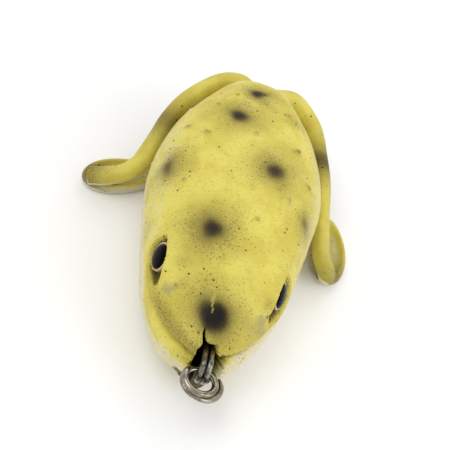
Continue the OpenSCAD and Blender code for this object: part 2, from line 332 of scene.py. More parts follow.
def airbrushed_skin(name, ground, light, cream, speck_level):
    """Soft PVC plastisol, dipped and airbrushed: satin, with overspray, a worn cream underside, dirt and
    painted shade.
    """
    material, tree, shader = new_material(name)
    coords = add_node(tree, "ShaderNodeTexCoord").outputs["Object"]
    spot, haze, belly, dirt_and_shade, worn, inner = (mask(tree, key) for key in MASKS)

    # Yellow ground, lighter and darker in patches where the coat is thin or thick.
    patch = ramp(tree, noise(tree, coords, 7, 4, 0.6), 0.36, 0.64)
    colour = mixed(tree, patch, linear(ground), linear(light))
    smear = ramp(tree, noise(tree, coords, 2.6, 4, 0.65), 0.52, 0.72)
    colour = mixed(tree, calc(tree, "MULTIPLY", smear, 0.24), colour, linear("#bda644"))
    # The underside is bare cream rubber with a ragged edge.
    edge = ragged(tree, coords, belly, 1.2, 0.9)
    colour = mixed(tree, ramp(tree, edge, 0.30, 0.80), colour, linear(cream))
    # Soft airbrushed spots: a wide olive haze, then brown, then a dark heart.
    grain = noise(tree, coords, 0.30, 2, 0.65)
    colour = mixed(tree, calc(tree, "MULTIPLY", haze, 0.62, clamp=True), colour, linear("#75662c"))
    uneven = ragged(tree, coords, spot, 0.28, 0.34)
    colour = mixed(tree, ramp(tree, uneven, 0.10, 0.95), colour, linear("#4a3c16"))
    colour = mixed(tree, ramp(tree, uneven, 0.45, 1.12), colour, linear("#0c0703"))
    # Overspray grains, 0.3 mm across. They crowd towards the spots, and the dark hearts hide them.
    crowd = calc(tree, "MULTIPLY", haze, 0.11)
    thick = calc(tree, "MULTIPLY", calc(tree, "SUBTRACT", noise(tree, coords, 5, 2), 0.5), 0.12)
    level = calc(tree, "ADD", calc(tree, "ADD", grain, crowd), thick)
    grain_mask = ramp(tree, level, speck_level, speck_level + 0.07)
    bare = calc(tree, "SUBTRACT", 1.0, ramp(tree, spot, 0.15, 0.60))
    grains = calc(tree, "MULTIPLY", calc(tree, "MULTIPLY", grain_mask, 0.62), bare)
    colour = mixed(tree, grains, colour, linear("#5d4a18"))
    # Worn grey patches, then one dark brown for grime and for painted shade in the eye sockets, the lip
    # groove, the torn lower lip and the foot's joint.
    rub = ragged(tree, coords, worn, 0.8, 0.7)
    colour = mixed(tree, calc(tree, "MULTIPLY", ramp(tree, rub, 0.3, 0.9), 0.75), colour, linear("#a39a68"))
    grime_and_shade = ragged(tree, coords, dirt_and_shade, 0.6, 0.8)
    colour = mixed(tree, calc(tree, "MULTIPLY", ramp(tree, grime_and_shade, 0.3, 1.0), 0.85), colour, linear("#3f2f14"))
    # Black pits: a few cells hold a speck 0.3 mm across.
    cell = add_node(tree, "ShaderNodeTexVoronoi", {"Vector": coords}, Scale=1 / (2.1 * MM))
    pick = add_node(tree, "ShaderNodeSeparateColor", {"Color": cell.outputs["Color"]}).outputs["Red"]
    chosen = ramp(tree, calc(tree, "MULTIPLY_ADD", pick, -0.35, 0.42), 0.17, 0.19)
    pit = calc(tree, "MULTIPLY", ramp(tree, cell.outputs["Distance"], 0.12, 0.06), chosen)
    colour = mixed(tree, calc(tree, "MULTIPLY", pit, 0.9), colour, linear("#20180a"))
    # Inside, the skin is painted near black: painted shade of the hollow body's inside.
    colour = mixed(tree, inner, colour, linear("#070504"))
    tree.links.new(colour, shader.inputs["Base Color"])

    gloss = calc(tree, "MULTIPLY_ADD", noise(tree, coords, 1.6, 3), 0.24, 0.34)
    dull = calc(tree, "MULTIPLY", grain_mask, 0.12)
    tree.links.new(calc(tree, "ADD", gloss, dull), shader.inputs["Roughness"])
    shader.inputs["Specular IOR Level"].default_value = 0.24
    shader.inputs["Subsurface Weight"].default_value = 0.05
    shader.inputs["Subsurface Radius"].default_value = (0.9, 0.7, 0.25)
    shader.inputs["Subsurface Scale"].default_value = 0.6 * MM
    # Orange-peel from dipping, and the grit of dried overspray.
    peel = calc(tree, "MULTIPLY_ADD", noise(tree, coords, 1.1, 3), 0.6, calc(tree, "MULTIPLY", grain, 0.4))
    roughen(tree, shader, calc(tree, "SUBTRACT", peel, calc(tree, "MULTIPLY", pit, 0.5)), 0.45, 0.2)
    return material


def plated_steel(name, tint, dull, polish, scratch):
    """Nickel-plated spring wire: bright where rubbed, grey and pitted where it has been in salt water."""
    material, tree, shader = new_material(name)
    coords = add_node(tree, "ShaderNodeTexCoord").outputs["Object"]
    wear = ramp(tree, noise(tree, coords, 1.4, 4, 0.6), 0.42, 0.66)
    tree.links.new(mixed(tree, wear, linear(tint), linear(dull)), shader.inputs["Base Color"])
    shader.inputs["Metallic"].default_value = 1.0
    tree.links.new(calc(tree, "MULTIPLY_ADD", wear, 0.22, polish), shader.inputs["Roughness"])
    stretched = add_node(tree, "ShaderNodeMapping", {"Vector": coords}, Scale=(1, 0.3, 1)).outputs["Vector"]
    roughen(tree, shader, noise(tree, stretched, 0.22, 3), scratch, 0.03)
    return material


def cast_lead(name):
    """Cast lead, oxidised: dark grey, dull and lumpy."""
    material, tree, shader = new_material(name)
    coords = add_node(tree, "ShaderNodeTexCoord").outputs["Object"]
    bloom = ramp(tree, noise(tree, coords, 2.0, 4), 0.4, 0.7)
    tree.links.new(mixed(tree, bloom, linear("#5b5d61"), linear("#8a8b8a")), shader.inputs["Base Color"])
    shader.inputs["Metallic"].default_value = 0.7
    shader.inputs["Roughness"].default_value = 0.6
    roughen(tree, shader, noise(tree, coords, 0.8, 3), 0.5, 0.1)
    return material


def eye_enamel(name):
    """Cream acrylic rim of a moulded eye, yellowed and slightly dirty in its groove."""
    material, tree, shader = new_material(name)
    coords = add_node(tree, "ShaderNodeTexCoord").outputs["Object"]
    darkening = ramp(tree, noise(tree, coords, 0.9, 3), 0.45, 0.75)
    tree.links.new(mixed(tree, darkening, linear("#bda97c"), linear("#84703f")), shader.inputs["Base Color"])
    shader.inputs["Roughness"].default_value = 0.28
    shader.inputs["Coat Weight"].default_value = 0.3
    return material


def eye_dome(name):
    """Black acrylic dome: near black, mirror-smooth under a few dust specks."""
    material, tree, shader = new_material(name)
    coords = add_node(tree, "ShaderNodeTexCoord").outputs["Object"]
    haze = noise(tree, coords, 2.2, 2)
    tree.links.new(mixed(tree, haze, linear("#020202"), linear("#060606")), shader.inputs["Base Color"])
    dust = ramp(tree, noise(tree, coords, 0.3, 3), 0.62, 0.75)
    tree.links.new(calc(tree, "MULTIPLY_ADD", dust, 0.25, 0.12), shader.inputs["Roughness"])
    shader.inputs["Specular IOR Level"].default_value = 0.05
    return material


def studio_paper(name):
    """Matte white paper."""
    material, tree, shader = new_material(name)
    coords = add_node(tree, "ShaderNodeTexCoord").outputs["Object"]
    tone = noise(tree, coords, 60, 2)
    tree.links.new(mixed(tree, tone, linear("#fbfbfb"), linear("#ffffff")), shader.inputs["Base Color"])
    shader.inputs["Roughness"].default_value = 0.9
    shader.inputs["Specular IOR Level"].default_value = 0.1
    return material


# ---------------------------------------------------------------- body


def section(s):
    """Half width, back height and belly height in mm at shares s of the length."""
    u = np.linspace(0, len(STATIONS) - 1, 2001)
    table = spline(STATIONS, u)
    cols = [np.interp(s, table[:, 0], table[:, k]) for k in (1, 2, 3)]
    return cols[0] * HALF_WIDTH, cols[1] * BODY_HEIGHT, cols[2] * BODY_HEIGHT


def body_grid(y, angle, inset=0.0, rear_inset=0.0):
    """Points of the plain body, with rounded ends, at each y and angle around it."""
    share = (y - NOSE_Y) / BODY_LENGTH
    w, top, low = section(share)
    w, top, low = w - inset, top - inset, low + inset
    y = NOSE_Y + inset + share * (BODY_LENGTH - inset - rear_inset)
    nose_round, rump_round = 1.5, 3.0
    front = np.clip((share * BODY_LENGTH) / nose_round, 0, 1)
    rear = np.clip(((1 - share) * BODY_LENGTH) / rump_round, 0, 1)
    shrink = np.sqrt(1 - (1 - front) ** 2) * (0.25 + 0.75 * np.sqrt(1 - (1 - rear) ** 2))
    shrink = np.maximum(shrink, 0.02)
    mid = low + BELT * (top - low)
    e = 2 / SQUARENESS
    c = np.sign(np.cos(angle)) * np.abs(np.cos(angle)) ** e
    v = np.sign(np.sin(angle)) * np.abs(np.sin(angle)) ** e
    half = np.where(v > 0, (top - mid)[:, None], (mid - low)[:, None])
    x = (w * shrink)[:, None] * c[None]
    z = mid[:, None] + shrink[:, None] * half * v[None]
    return np.stack([x, np.broadcast_to(y[:, None], x.shape), z], -1)


def grid_normals(points):
    """Outward normals of a grid of rings."""
    along = np.gradient(points, axis=0)
    around = (np.roll(points, -1, axis=1) - np.roll(points, 1, axis=1)) / 2
    n = np.cross(along, around)
    n /= np.maximum(np.linalg.norm(n, axis=2, keepdims=True), 1e-9)
    outward = points - points.mean(axis=1, keepdims=True)
    return np.where((n * outward).sum(2, keepdims=True) < 0, -n, n)


def eye_axes(side):
    """Centre, outward axis, forward axis and upward axis of the eye on side +1 (left) or -1."""
    out = np.array([side * math.cos(EYE_PITCH) * math.cos(EYE_YAW), -math.cos(EYE_PITCH) * math.sin(EYE_YAW),
                    math.sin(EYE_PITCH)])
    snoutwards = np.array([-0.16 * side, -0.95, -0.22])
    ahead = unit(snoutwards - out * (snoutwards @ out))
    up = np.cross(out, ahead) * side
    up = up if up[2] > 0 else -up
    return EYE_AT * [side, 1, 1], out, ahead, up


MASKS = ("spot", "haze", "belly", "dirt_and_shade", "worn", "inner")
# Raised warts: x, y, radius and height in mm.
WARTS = [
    (-8.6, 10.3, 1.0, 0.45), (-7.7, 18.6, 0.9, 0.4), (-0.2, 12.8, 1.0, 0.45), (5.2, 21.3, 1.0, 0.4),
    (7.9, 12.6, 1.1, 0.45), (7.8, -0.3, 1.1, 0.4), (-10.6, -1.5, 0.8, 0.25), (2.4, 4.6, 0.8, 0.25),
    (11.5, 6.5, 0.9, 0.3), (-12.0, 12.5, 0.9, 0.3), (3.2, -7.0, 0.8, 0.22), (-4.8, 22.6, 0.8, 0.3),
]
# Airbrushed spots on the skin: centre, radius of the haze, strength of the haze and strength of the brown.
SPOTS = [
    (0.3, -26.3, 17.1, 6.6, 1.05, 1.22), (-4.2, -11.9, 21.7, 6.2, 1.0, 0.92),
    (-13.6, 2.4, 17.8, 4.8, 0.8, 0.7),
    (4.3, 5.4, 22.7, 5.2, 0.9, 0.85), (12.6, -1.2, 18.6, 4.0, 0.8, 0.6), (-3.8, 16.7, 22.1, 5.0, 0.9, 0.95),
    (-0.6, 24.4, 21.1, 4.0, 0.9, 0.95), (14.2, 17.5, 16.0, 4.0, 0.7, 0.6), (7.2, 20.5, 20.2, 2.6, 0.5, 0.3),
    (-13.6, -9.0, 11.5, 3.2, 0.3, 0.2), (14.6, 6.0, 11.0, 3.4, 0.6, 0.4), (-14.2, 17.0, 13.0, 3.6, 0.6, 0.5),
]
# Torn mouth outline in x and z, in mm, from the lower left corner round.
TEAR = [
    (-1.7, 4.9), (-1.6, 6.6), (-1.2, 7.8), (-0.8, 8.7), (-1.35, 9.4), (-0.9, 10.1), (-0.6, 11.2),
    (-0.85, 12.6),
    (-0.45, 13.4), (-0.3, 14.0), (-0.55, 14.6), (-0.85, 15.2), (-0.75, 15.9), (-0.5, 15.5), (-0.2, 14.9),
    (0.3, 14.4), (1.1, 14.2), (2.1, 14.4), (2.4, 13.5), (2.7, 12.9), (3.6, 12.5), (4.6, 11.7), (4.3, 10.9),
    (4.7, 9.9), (4.5, 9.2), (4.9, 8.2), (4.6, 6.5), (4.1, 4.9),
]


def inside_outline(x, z, outline):
    """True where x and z lie inside a closed outline."""
    hit = np.zeros(np.shape(x), bool)
    for (x0, z0), (x1, z1) in zip(outline, outline[1:] + outline[:1]):
        cross = (z0 > z) != (z1 > z)
        at = x0 + (z - z0) * (x1 - x0) / ((z1 - z0) if z1 != z0 else 1e-9)
        hit ^= cross & (x < at)
    return hit


def nearest_on_outline(x, z, outline):
    """Nearest point of a closed outline to each x and z."""
    best = np.full(np.shape(x), 1e9)
    nx, nz = np.array(x, float), np.array(z, float)
    for (x0, z0), (x1, z1) in zip(outline, outline[1:] + outline[:1]):
        dx, dz = x1 - x0, z1 - z0
        t = np.clip(((x - x0) * dx + (z - z0) * dz) / (dx * dx + dz * dz), 0, 1)
        px, pz = x0 + t * dx, z0 + t * dz
        d = np.hypot(x - px, z - pz)
        nearer = d < best
        best = np.where(nearer, d, best)
        nx, nz = np.where(nearer, px, nx), np.where(nearer, pz, nz)
    return nx, nz, best


def lip_height(x):
    """Height of the lip line, which dips at the snout."""
    return 12.5 - 1.1 * smoothstep(4.0, 1.0, np.abs(x))


def eye_socket(points, side):
    """Displacement out of the skin, and the painted shade of the socket, around one eye."""
    centre, out, ahead, up = eye_axes(side)
    d = points - centre
    u, v, w = d @ ahead, d @ up, d @ out
    near = (np.abs(w) < 6) & (np.hypot(u, v) < 9)
    # Opening: round about the eye, drawn out to a point low in front and a short one high behind.
    front = np.clip(u / 6.1, 0, 1)
    back = np.clip(-u / 3.9, 0, 1)
    low_edge = np.where(u > 0, -3.05 + 2.0 * front ** 1.3, -3.05 + 4.2 * (1 - np.sqrt(1 - back ** 2)))
    high_edge = np.where(u > 0, 2.05 - 3.1 * front ** 2.0, 2.05 - 0.8 * back ** 2)
    soft = 0.17
    inside = smoothstep(-soft, soft, v - low_edge) * smoothstep(-soft, soft, high_edge - v)
    inside = inside * (u > -3.95) * (u < 6.15)
    recess = -1.6 * inside * smoothstep(6.2, 2.2, u)
    span = np.exp(-(u / 3.9) ** 4)
    above = v - high_edge
    lid = 0.95 * span * smoothstep(-0.12, 0.25, above) * np.exp(-(np.clip(above, 0, None) / 2.4) ** 1.4)
    rim = 0.30 * np.exp(-(u / 4.2) ** 4) * np.exp(-((v - low_edge + 0.5) / 0.45) ** 2)
    # Painted shade in the recess round the eye and along the lower edge of its opening.
    darkening = inside * smoothstep(6.4, 4.0, u) + 0.3 * np.exp(-((v - low_edge) / 0.25) ** 2) * span
    return np.where(near, recess + lid + rim, 0), np.where(near, darkening, 0)


def ridge(points, route, half_width):
    """How near each point is to a ridge line over the back, from 0 to 1, seen from above."""
    line = spline(route, np.linspace(0, len(route) - 1, 60))
    d = np.full(points.shape[:-1], 1e9)
    for x, y in line:
        d = np.minimum(d, np.hypot(points[..., 0] - x, points[..., 1] - y))
    return np.exp(-(d / half_width) ** 2) * (points[..., 2] > 0.5 * BODY_HEIGHT)


def bumps(points, places):
    """Gaussian weight of the nearest of several places given with their radii in mm."""
    total = np.zeros(points.shape[:-1])
    for x, y, z, radius in places:
        d = np.linalg.norm(points - np.array([x, y, z]), axis=-1)
        total = np.maximum(total, np.exp(-(d / radius) ** 2))
    return total


def sculpt(points, normals):
    """Displaced body skin and its colour masks."""
    x, y, z = points[..., 0], points[..., 1], points[..., 2]
    push = np.zeros(x.shape)
    masks = {k: np.zeros(x.shape) for k in MASKS}

    for side in (-1, 1):
        bump, darkening = eye_socket(points, side)
        push += bump
        # The socket's painted shade joins the dirt and shade mask.
        masks["dirt_and_shade"] = np.maximum(masks["dirt_and_shade"], 1.1 * darkening)
    eye_free = 1 - np.clip(masks["dirt_and_shade"] * 2, 0, 1)

    # Lips: the upper lip stands out over a groove, and the jaw swells below it.
    fall = z - lip_height(x)
    reach = smoothstep(-15.5, -20.5, y) * eye_free
    lip = 1 - 0.35 * smoothstep(-1, 3, x)
    roll = 0.60 * np.exp(-((fall - 0.75) / 0.75) ** 2) - 0.85 * np.exp(-((fall + 0.25) / 0.42) ** 2)
    push += reach * lip * roll
    push += 0.45 * lip * smoothstep(-18, -26, y) * np.exp(-((fall + 2.4) / 1.5) ** 2)
    # Painted shade in the groove under the overhanging upper lip.
    groove = reach * np.exp(-((fall + 0.2) / 0.45) ** 2)
    masks["dirt_and_shade"] = np.maximum(masks["dirt_and_shade"], 0.85 * groove * (1.5 - lip))
    shade = reach * np.exp(-((fall - 1.1) / 1.3) ** 2) * smoothstep(-17, -27, y)
    masks["haze"] = np.maximum(masks["haze"], shade * np.where(x < 0, 0.95, 0.35))

    # Nostril pads with worn tops, and a dark nostril beside each.
    uneven_wear = value_noise(points, 0.9, 41)
    pads = [(-8.2, -22.8, 15.9, 1.7), (8.6, -23.0, 14.9, 1.7)]
    push += 0.48 * bumps(points, pads) * eye_free
    pad_tops = bumps(points, [(-8.0, -22.9, 16.0, 1.6), (8.4, -23.2, 14.9, 2.2)])
    masks["worn"] = pad_tops * (1.0 + 0.4 * uneven_wear)
    masks["worn"] = np.maximum(masks["worn"], 0.55 * bumps(points, [(6.8, -25.0, 15.2, 3.4)]))
    nostrils = bumps(points, [(-7.1, -22.2, 16.9, 0.5), (9.6, -21.3, 15.2, 0.55)])
    push -= 0.4 * nostrils
    masks["dirt_and_shade"] = np.maximum(masks["dirt_and_shade"], 0.9 * nostrils)
    smudges = bumps(points, [(-7, -18.6, 19.2, 1.6), (-6.2, -22.4, 17.8, 1.4), (9.0, -20.4, 17.2, 1.2)])
    masks["haze"] = np.maximum(masks["haze"], 0.5 * smudges)

    # Flat crown between raised brows, and folds of skin down each side of the back.
    push -= 0.40 * np.exp(-((y + 17) / 6) ** 2) * np.exp(-(x / 5.0) ** 2) * (z > 12)
    left_fold = ridge(points, [(3.9, 25.5), (7.6, 19.4), (8.5, 9.5), (7.8, 2.5), (7.2, -3.5)], 0.75)
    right_fold = ridge(points, [(-4.6, 25.0), (-8.2, 19.0), (-9.6, 10.0), (-9.2, 2.0), (-8.0, -5.0)], 0.85)
    uneven = 0.75 + 0.5 * value_noise(points, 2.4, 11)
    push += (0.85 * left_fold + 0.45 * right_fold) * uneven
    for wx, wy, radius, height in WARTS:
        top = np.exp(-(((x - wx) ** 2 + (y - wy) ** 2) / (0.62 * radius) ** 2)) * (z > 0.45 * BODY_HEIGHT)
        push += 1.4 * height * top * (1 + 0.6 * value_noise(points, 0.5, 31))
        masks["haze"] = np.maximum(masks["haze"], 0.9 * top)
        masks["spot"] = np.maximum(masks["spot"], 0.25 * top)

    # Puckers that fan from the corners of the torn mouth.
    fan = bumps(points, [(5.6, -28.8, 12.6, 2.2)])
    push += 0.13 * np.sin((x * 0.85 + z * 0.75) * 2 * np.pi / 0.75) * fan
    fan = bumps(points, [(-3.8, -29.2, 12.9, 1.8)])
    push += 0.09 * np.sin((x * 0.85 - z * 0.75) * 2 * np.pi / 0.8) * fan
    # The skin curls out round the tear and is never quite even.
    _, _, off_tear = nearest_on_outline(x, z, TEAR)
    torn = (y < -22) * np.exp(-(off_tear / 0.9) ** 2)
    push += torn * (0.22 + 0.30 * value_noise(points, 0.6, 5))
    push += 0.16 * value_noise(points, 7.0, 1) + 0.07 * value_noise(points, 2.2, 2)
    push -= 0.35 * bumps(points, [(3.9, -17.5, 20.6, 0.35), (-0.5, 9.6, 22.8, 0.35), (-4.4, 5.3, 22.7, 0.3)])
    masks["haze"] = np.maximum(masks["haze"], 0.7 * (y < -24) * (z > 12) * np.exp(-(off_tear / 0.8) ** 2))

    wander = points + 0.9 * np.stack([value_noise(points, 3.0, 21), value_noise(points, 3.0, 22),
                                      value_noise(points, 3.0, 23)], -1)
    for sx, sy, sz, radius, haze, brown in SPOTS:
        d = np.linalg.norm(wander - np.array([sx, sy, sz]), axis=-1) / radius
        masks["haze"] = np.maximum(masks["haze"], haze * np.exp(-(d * 1.12) ** 2.4))
        masks["spot"] = np.maximum(masks["spot"], brown * np.exp(-(d * 2.05) ** 2))
    scratch = np.abs(x + 0.5 + 0.35 * np.sin((y + 25) * 1.2)) + 10 * np.clip(np.abs(y + 24.3) - 1.5, 0, None)
    masks["spot"] *= 1 - 0.7 * (scratch < 0.16) * (z > 14)

    # Cream underside: the paint stops in a soft line low on the flank, and is rubbed off the chin.
    line = np.where(x < 0, 10.6 - 2.0 * smoothstep(-17, -22, y), 9.6) + 0.8 * value_noise(points, 6, 7)
    chin = bumps(points, [(-5.6, -29.3, 8.6, 2.2), (-2.6, -30.9, 7.0, 1.8)]) * (fall < -0.5)
    left_jaw = smoothstep(-15, -21, y) * smoothstep(0.0, -0.7, fall) * (x > 0)
    left_jaw *= 1 - bumps(points, [(5.0, -30.6, 11.7, 1.1)])
    pale = 0.46 * smoothstep(9.0, 14.0, np.abs(x)) * smoothstep(-24, -14, y)
    masks["belly"] = np.maximum(smoothstep(1.3, -1.3, z - line), np.maximum(0.9 * chin, 0.85 * left_jaw))
    masks["belly"] = np.maximum(masks["belly"], pale)
    # Purple-grey darkening on the rump beside the legs, and in the tail's hole.
    beside_legs = bumps(points, [(-6.6, 22.6, 16.6, 1.5), (-8.6, 19.6, 16.2, 1.4), (-10.4, 16.6, 15.2, 1.1),
                            (10.3, 16.0, 15.2, 1.2), (9.0, 19.2, 15.8, 1.3), (11.4, 12.6, 14.4, 1.1)])
    masks["dirt_and_shade"] = np.maximum(masks["dirt_and_shade"], 0.55 * beside_legs)
    # The torn lower lip is darkened nearly black: painted shade of the mouth's inside.
    torn_lip = (y < -26) * (z < 6.5) * np.exp(-(off_tear / 1.5) ** 2)
    masks["dirt_and_shade"] = np.maximum(masks["dirt_and_shade"], 1.4 * torn_lip)
    hole = bumps(points, [(0.2, 25.6, 21.0, 0.5)])
    push -= 0.5 * hole
    masks["dirt_and_shade"] = np.maximum(masks["dirt_and_shade"], hole)
    return points + normals * push[..., None], masks


def slit_room(x, y, z):
    """True in the slit under the rump that the shanks come out of."""
    half = 2.2
    middle = np.clip(y, RUMP_Y - 16 + half, RUMP_Y - 3.5 - half)
    return (np.hypot(x, y - middle) < half) & (z < 0.35 * BODY_HEIGHT)


def build_body(settings):
    """The hollow skin: sculpted outer wall, plain inner wall, torn mouth and slit."""
    head = NOSE_Y + 20 * np.linspace(0, 1, settings.head_rows) ** 1.4
    rest = np.linspace(NOSE_Y + 20, RUMP_Y, settings.back_rows)[1:]
    ends = RUMP_Y - np.array([0.5, 0.2, 0.05])
    y = np.unique(np.concatenate([head, rest, ends]))
    cols = settings.columns
    angle = np.linspace(0, 2 * np.pi, cols, endpoint=False) - np.pi / 2
    outer = body_grid(y, angle)
    inner = body_grid(y, angle, settings.skin / MM, 4.5)
    moved, masks = sculpt(outer, grid_normals(outer))
    moved[..., 2] = np.maximum(moved[..., 2], 0.0)
    # The highest folds flatten towards the top of the design's box.
    top = BODY_HIGH.z / MM
    high = moved[..., 2] > top - 0.4
    moved[..., 2] = np.where(high, top - 0.4 * np.exp((top - 0.4 - moved[..., 2]) / 0.4), moved[..., 2])
    rows = len(y)

    # The torn lower lip juts out under the ring.
    for wall in (moved, inner):
        juts = np.exp(-((outer[..., 0] - TEAR_X) / 2.4) ** 2) * smoothstep(8.0, 5.8, outer[..., 2])
        wall[..., 1] -= 2.2 * juts * smoothstep(-26.5, -30.3, outer[..., 1])

    # Cut the mouth and the slit out of both walls, and draw the cut edges on to their outlines.
    quad = grid_faces(rows, cols)
    flat = outer.reshape(-1, 3)
    centre = flat[quad].mean(axis=1)
    torn = inside_outline(centre[:, 0], centre[:, 2], TEAR) & (centre[:, 1] < NOSE_Y + 6)
    slit = slit_room(centre[:, 0], centre[:, 1], centre[:, 2])
    gone = torn | slit
    kept = quad[~gone]
    out_points, in_points = moved.reshape(-1, 3).copy(), inner.reshape(-1, 3).copy()
    edge = np.zeros(len(flat), bool)
    edge[np.intersect1d(quad[torn].ravel(), kept.ravel())] = True
    nx, nz, off = nearest_on_outline(flat[:, 0], flat[:, 2], TEAR)
    pull = edge & (off < 0.9)
    for wall in (out_points, in_points):
        wall[pull, 0] += (nx - flat[:, 0])[pull] * 0.85
        wall[pull, 2] += (nz - flat[:, 2])[pull] * 0.85

    n = rows * cols
    faces = [kept, kept[:, ::-1] + n]
    pairs = np.concatenate([kept[:, [k, (k + 1) % 4]] for k in range(4)])
    code = {tuple(p) for p in pairs.tolist()}
    border = [(a, b) for a, b in code if (b, a) not in code]
    last = (rows - 1) * cols
    rear_ring = {(last + j) for j in range(cols)}
    front_ring = {j for j in range(cols)}
    # Cut edges turn black with painted shade just inside the lip, so a third ring of points lies close behind
    # the outer one.
    cut = [(a, b) for a, b in border if not ({a, b} <= rear_ring or {a, b} <= front_ring)]
    lip_of = {v: 2 * n + 4 + i for i, v in enumerate(sorted({v for pair in cut for v in pair}))}
    lip_points = np.array([out_points[v] + 0.12 * (in_points[v] - out_points[v]) for v in lip_of])
    rim = [(b, a, lip_of[a], lip_of[b]) for a, b in cut]
    rim += [(lip_of[b], lip_of[a], a + n, b + n) for a, b in cut]
    points = np.concatenate([out_points, in_points,
                             [out_points[last:last + cols].mean(0)], [in_points[last:last + cols].mean(0)],
                             [out_points[:cols].mean(0)], [in_points[:cols].mean(0)], lip_points])
    all_faces = [f for block in faces for f in block.tolist()] + rim
    kept_set = {a for a, _ in border}
    for j in range(cols):
        k = (j + 1) % cols
        if (last + j) in kept_set or (last + k) in kept_set:
            all_faces += [(2 * n, last + k, last + j), (2 * n + 1, n + last + j, n + last + k)]
        if (j, k) in code or (k, j) in code:
            all_faces += [(2 * n + 2, j, k), (2 * n + 3, n + k, n + j)]
    piece = new_piece("body_skin", points, all_faces, finish("skin"))
    # The inner wall and the cut edges get the inner mask, which paints them near black as painted shade.
    for name, values in masks.items():
        dark = 1.0 if name == "inner" else 0.0
        tail = [values[-1].mean(), dark, values[0].mean(), dark]
        set_mask(piece, name, np.concatenate([values.reshape(-1), np.full(n, dark), tail,
                                              np.full(len(lip_points), dark)]))
    loose = bmesh.new()
    loose.from_mesh(piece.data)
    bmesh.ops.delete(loose, geom=[v for v in loose.verts if not v.link_faces], context="VERTS")
    loose.to_mesh(piece.data)
    loose.free()
    thin_inner_wall(piece)
    return piece


def thin_inner_wall(piece):
    """Merges most faces of the wall that is only seen through the mouth."""
    inner = [k for k, dark in enumerate(piece.data.attributes["inner"].data) if dark.value > 0.5]
    piece.vertex_groups.new(name="inner_wall").add(inner, 1.0, "REPLACE")
    decimate = piece.modifiers.new("thin", "DECIMATE")
    decimate.ratio = 0.55
    decimate.vertex_group = "inner_wall"
    bake_modifiers(piece)
    piece.vertex_groups.clear()


# ---------------------------------------------------------------- eyes


def lathe(profile, side, steps=96):
    """Closed solid of revolution about an eye's axis from (radius, height) points."""
    centre, out, ahead, up = eye_axes(side)
    a = np.linspace(0, 2 * np.pi, steps, endpoint=False)
    p = np.asarray(profile, float)
    ring = np.cos(a)[None, :, None] * ahead + np.sin(a)[None, :, None] * up
    points = centre + p[:, 1][:, None, None] * out + p[:, 0][:, None, None] * ring
    return points.reshape(-1, 3), [list(f) for f in grid_faces(len(p), steps)]


def build_eye(side):
    """The cream rim and the black dome of one eye."""
    name = "left" if side > 0 else "right"
    bead_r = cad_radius(name + "_eye_bead")
    pupil_r = bead_r * 0.84
    t = np.linspace(0, np.pi / 2, 14)
    edge = 0.26
    rim = [(0.02, -0.9), (bead_r - 0.15, -0.9), (bead_r, -0.7)]
    rim += [(bead_r - edge + edge * math.cos(q), -0.05 + edge * 1.1 * math.sin(q)) for q in t]
    rim += [(pupil_r + 0.02, 0.12), (pupil_r - 0.1, -0.1), (0.02, -0.1)]
    points, faces = lathe(rim, side)
    bead = new_piece(name + "_eye_rim", points, faces, finish("rim"))
    dome = [(0.02, -0.08), (pupil_r - 0.12, -0.08), (pupil_r, 0.05)]
    dome += [(pupil_r * math.cos(q), 0.12 + 0.72 * math.sin(q)) for q in np.linspace(0, np.pi / 2 * 0.99, 22)]
    points, faces = lathe(dome, side)
    pupil = new_piece(name + "_eye_dome", points, faces, finish("pupil"))
    for piece in (bead, pupil):
        close_poles(piece)
        face_outwards(piece)
    return bead, pupil


def close_poles(piece):
    """Fills the small rings left open at a turned piece's axis."""
    bm = bmesh.new()
    bm.from_mesh(piece.data)
    bmesh.ops.holes_fill(bm, edges=[e for e in bm.edges if e.is_boundary], sides=0)
    bm.to_mesh(piece.data)
    bm.free()


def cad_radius(node):
    """Radius in mm of an eye bead from its CAD box, which spans its full height."""
    low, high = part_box(node)
    return (high.y - low.y) / MM / 2 * 0.985


# ---------------------------------------------------------------- legs


def leg_route(shares, toe):
    """Points in mm that a leg passes, with its toe last."""
    tip = on_body([toe[0], toe[1], 0.09])
    return np.concatenate([on_body(shares), tip[None]])


def strip_section(path, start, end, settings):
    """Closed strip between two shares of the leg, whose root is drawn in to hide in the piece before it."""
    count = 260
    share = np.linspace(0, 1, count)
    line = spline(path, share * (len(path) - 1))
    side, up = carried_frame(line, (1, 0, 0))
    root = smoothstep(0.22, 0.02, share)
    width = settings.leg_width / MM / 2 * (1 + 0.28 * root + 0.10 * smoothstep(0.7, 0.95, share))
    depth = settings.leg_depth / MM / 2 * (1 + 0.22 * root)
    tuck = 0.02 if start > 0 else 0.0
    use = (share >= start - tuck) & (share <= end)
    drawn_in = 0.86 + 0.14 * smoothstep(start - tuck, start, share) if start > 0 else np.ones(count)
    tip = np.sqrt(np.clip((1.0 - share) / 0.02, 0.12, 1)) if end >= 1 else 1.0
    scale = (drawn_in * tip)[use]
    return rod(line[use], side[use], up[use], width[use] * scale, depth[use] * scale, 40, 0.76)


